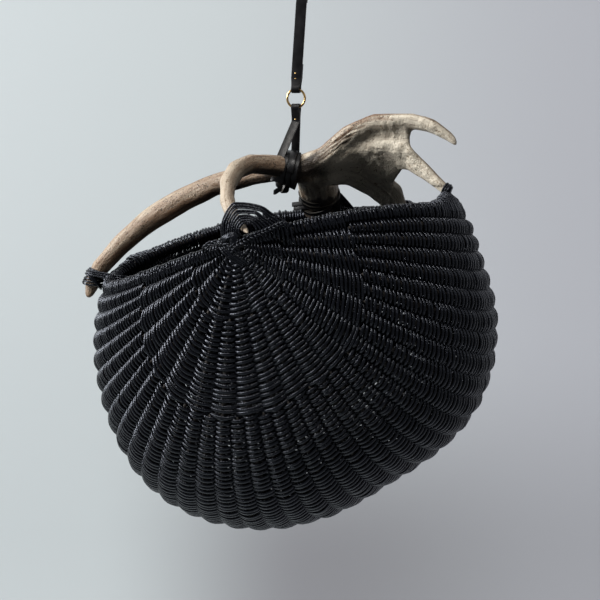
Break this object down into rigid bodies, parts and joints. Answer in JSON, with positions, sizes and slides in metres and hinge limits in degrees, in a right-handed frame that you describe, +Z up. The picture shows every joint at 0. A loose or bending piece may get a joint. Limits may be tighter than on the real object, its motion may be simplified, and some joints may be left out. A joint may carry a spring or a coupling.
{
  "type": "antler basket",
  "caption": "Woven rib basket hung by a leather strap and a ring from an antler that is lashed across its mouth as the handle.",
  "frame": {"origin": "inside top of the upper strap's loop, where the hook carries it", "axes": "+X along the basket's long side to the right as hung, +Y away from the viewer through the basket's depth, +Z up"},
  "size_m": [0.4899, 0.3137, 0.6488],
  "materials": {
    "black_cord": "waxed twisted cord, soft sheen",
    "rib_rod": "dark stained rod, matt",
    "antler_bone": "natural shed antler, dry and slightly polished on its edges",
    "black_leather": "smooth black leather with a pale cut edge",
    "brass": "polished"
  },
  "bodies": {
    "hanger": {"upper_strap": "black_leather"},
    "ring": {"brass_ring": "brass"},
    "basket": {"weave_front": "black_cord", "weave_back": "black_cord", "near_ear_plate": "black_cord", "far_ear_plate": "black_cord", "near_ear_arch": "black_cord", "left_lashing": "black_cord", "right_lashing": "black_cord", "far_tine_lashing": "black_cord", "rim_hoop": "rib_rod", "rib_01_tertiary": "rib_rod", "rib_02_secondary": "rib_rod", "rib_03_tertiary": "rib_rod", "rib_04_primary": "rib_rod", "rib_05_tertiary": "rib_rod", "rib_06_secondary": "rib_rod", "rib_07_tertiary": "rib_rod", "rib_08_primary": "rib_rod", "rib_09_tertiary": "rib_rod", "rib_10_secondary": "rib_rod", "rib_11_tertiary": "rib_rod", "rib_12_primary": "rib_rod", "rib_13_tertiary": "rib_rod", "rib_14_secondary": "rib_rod", "rib_15_tertiary": "rib_rod", "rib_16_primary": "rib_rod", "rib_17_tertiary": "rib_rod", "rib_18_secondary": "rib_rod", "rib_19_tertiary": "rib_rod", "rib_20_primary": "rib_rod", "rib_21_tertiary": "rib_rod", "rib_22_secondary": "rib_rod", "rib_23_tertiary": "rib_rod", "rib_24_primary": "rib_rod", "rib_25_tertiary": "rib_rod", "rib_26_secondary": "rib_rod", "rib_27_tertiary": "rib_rod", "rib_28_primary": "rib_rod", "rib_29_tertiary": "rib_rod", "rib_30_secondary": "rib_rod", "rib_31_tertiary": "rib_rod", "rib_32_primary": "rib_rod", "rib_33_tertiary": "rib_rod", "rib_34_secondary": "rib_rod", "rib_35_tertiary": "rib_rod", "antler": "antler_bone", "base_lashing": "black_leather", "strap_binding": "black_leather", "binding_knot": "black_leather", "lower_strap": "black_leather"}
  },
  "joints": [
    {"name": "ring_swing", "type": "hinge", "parent": "hanger", "child": "ring", "pos_m": [-0.01, 0, -0.1426], "axis": [1, 0, 0], "range_deg": [-55, 55]},
    {"name": "basket_slide", "type": "hinge", "parent": "ring", "child": "basket", "pos_m": [-0.01, 0, -0.153], "axis": [0, 1, 0], "range_deg": [-35, 35]}
  ]
}
